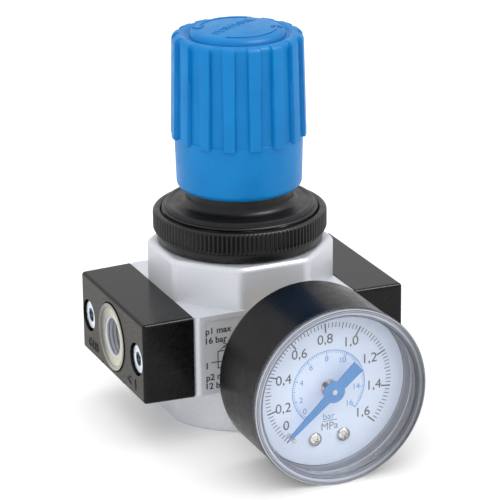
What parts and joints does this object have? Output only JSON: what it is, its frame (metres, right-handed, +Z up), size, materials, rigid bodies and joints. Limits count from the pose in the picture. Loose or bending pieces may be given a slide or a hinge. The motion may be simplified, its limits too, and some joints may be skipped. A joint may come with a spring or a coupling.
{
  "type": "air pressure regulator",
  "caption": "Compact diaphragm pressure regulator with a lockable ribbed knob, knurled panel nut, two threaded connecting plates and a round dial gauge.",
  "frame": {"origin": "centre of the flat base, on the knob axis", "axes": "+Z up along the knob axis, +X in the flow direction from inlet to outlet, the gauge faces -Y"},
  "size_m": [0.0646, 0.0777, 0.0901],
  "materials": {
    "body_paint": "satin light grey metallic paint on a zinc die casting",
    "plate_paint": "semi-matt black paint on die-cast zinc",
    "insert_metal": "turned nickel-plated brass, dulled",
    "screw_zinc": "bright zinc-plated steel",
    "black_plastic": "moulded black plastic, satin",
    "knob_blue": "moulded blue plastic, satin",
    "seal_rubber": "nitrile rubber",
    "brass": "plain turned brass",
    "spring_steel": "drawn spring steel wire",
    "steel": "turned steel",
    "aluminium": "turned aluminium",
    "case_black": "satin black enamel on drawn steel",
    "clear_lens": "clear polycarbonate",
    "dial_white": "matt white enamel, printed",
    "pointer_blue": "satin blue paint",
    "dial_screw_steel": "polished steel",
    "white_plastic": "natural acetal",
    "bronze": "drawn phosphor bronze"
  },
  "bodies": {
    "housing": {"body": "body_paint", "base_plug": "black_plastic", "base_plug_seal": "seal_rubber", "valve_seat": "brass", "valve_spring": "spring_steel", "slip_ring": "steel", "main_spring": "spring_steel", "bonnet": "black_plastic", "thrust_washer": "brass", "rear_plug": "screw_zinc", "rear_plug_seal": "seal_rubber", "gauge_seal": "seal_rubber", "gauge_socket": "brass", "gauge_case": "case_black", "gauge_lens": "clear_lens", "gauge_dial": "dial_white", "dial_screws": "dial_screw_steel", "stop_pin": "dial_screw_steel", "bourdon_tube": "bronze", "tube_cap": "brass", "movement_back_plate": "brass", "movement_front_plate": "steel", "movement_pillars": "brass", "movement_screws": "steel", "dial_spacers": "brass", "hairspring": "bronze", "inlet_plate": "plate_paint", "inlet_insert": "insert_metal", "inlet_plate_screws": "screw_zinc", "inlet_plate_seal": "seal_rubber", "outlet_plate": "plate_paint", "outlet_insert": "insert_metal", "outlet_plate_screws": "screw_zinc", "outlet_plate_seal": "seal_rubber"},
    "adjusting_spindle": {"spindle": "steel", "spindle_clip": "spring_steel"},
    "knob_group": {"knob": "knob_blue", "lock_ring": "white_plastic"},
    "carrier": {"spring_carrier": "brass"},
    "valve": {"valve_poppet": "brass", "poppet_seal": "seal_rubber", "relief_hub": "brass", "diaphragm_plate": "aluminium", "diaphragm": "seal_rubber"},
    "nut_washer": {"panel_washer": "black_plastic"},
    "panel_nut": {"ring_nut": "black_plastic"},
    "sector": {"sector_gear": "brass", "sector_shaft": "steel"},
    "needle": {"pointer": "pointer_blue", "pointer_shaft": "steel", "pinion": "brass"},
    "connecting_link": {"link": "brass", "link_pins": "steel"}
  },
  "joints": [
    {"name": "spindle_turn", "type": "hinge", "parent": "housing", "child": "adjusting_spindle", "pos_m": [0, 0, 0.06], "axis": [0, 0, 1], "range_deg": [-2160, 0]},
    {"name": "knob_push", "type": "slide", "parent": "adjusting_spindle", "child": "knob_group", "axis": [0, 0, 1], "range_m": [-0.0025, 0]},
    {"name": "carrier_slide", "type": "slide", "parent": "housing", "child": "carrier", "axis": [0, 0, 1], "range_m": [-0.00751, 0], "deforming": ["main_spring"]},
    {"name": "valve_open", "type": "slide", "parent": "housing", "child": "valve", "axis": [0, 0, 1], "range_m": [-0.0008, 0], "stiffness_N_per_m": 2000, "springref_m": 0.001, "deforming": ["valve_spring", "diaphragm"]},
    {"name": "nut_lift", "type": "slide", "parent": "housing", "child": "nut_washer", "axis": [0, 0, 1], "range_m": [0, 0.00301]},
    {"name": "nut_turn", "type": "hinge", "parent": "nut_washer", "child": "panel_nut", "pos_m": [0, 0, 0.0447], "axis": [0, 0, 1], "range_deg": [0, 720]},
    {"name": "sector_swing", "type": "hinge", "parent": "housing", "child": "sector", "pos_m": [0, -0.0435, 0.00959], "axis": [0, 1, 0], "range_deg": [-53, 0], "stiffness_Nm_per_rad": 0.002, "springref_deg": 5.73},
    {"name": "pointer_turn", "type": "hinge", "parent": "housing", "child": "needle", "pos_m": [0, -0.046, 0.02043], "axis": [0, 1, 0], "range_deg": [0, 265.1]},
    {"name": "link_swing", "type": "hinge", "parent": "sector", "child": "connecting_link", "pos_m": [0.00021, -0.0445, 0.0056], "axis": [0, 1, 0], "range_deg": [0, 53.1]}
  ],
  "couplings": [
    {"joint": "carrier_slide", "follows": "spindle_turn", "m_per_rad": 0.00019894},
    {"joint": "nut_lift", "follows": "nut_turn", "m_per_rad": 0.00023873},
    {"joint": "pointer_turn", "follows": "sector_swing", "ratio": -5},
    {"joint": "link_swing", "follows": "sector_swing", "ratio": -1}
  ]
}
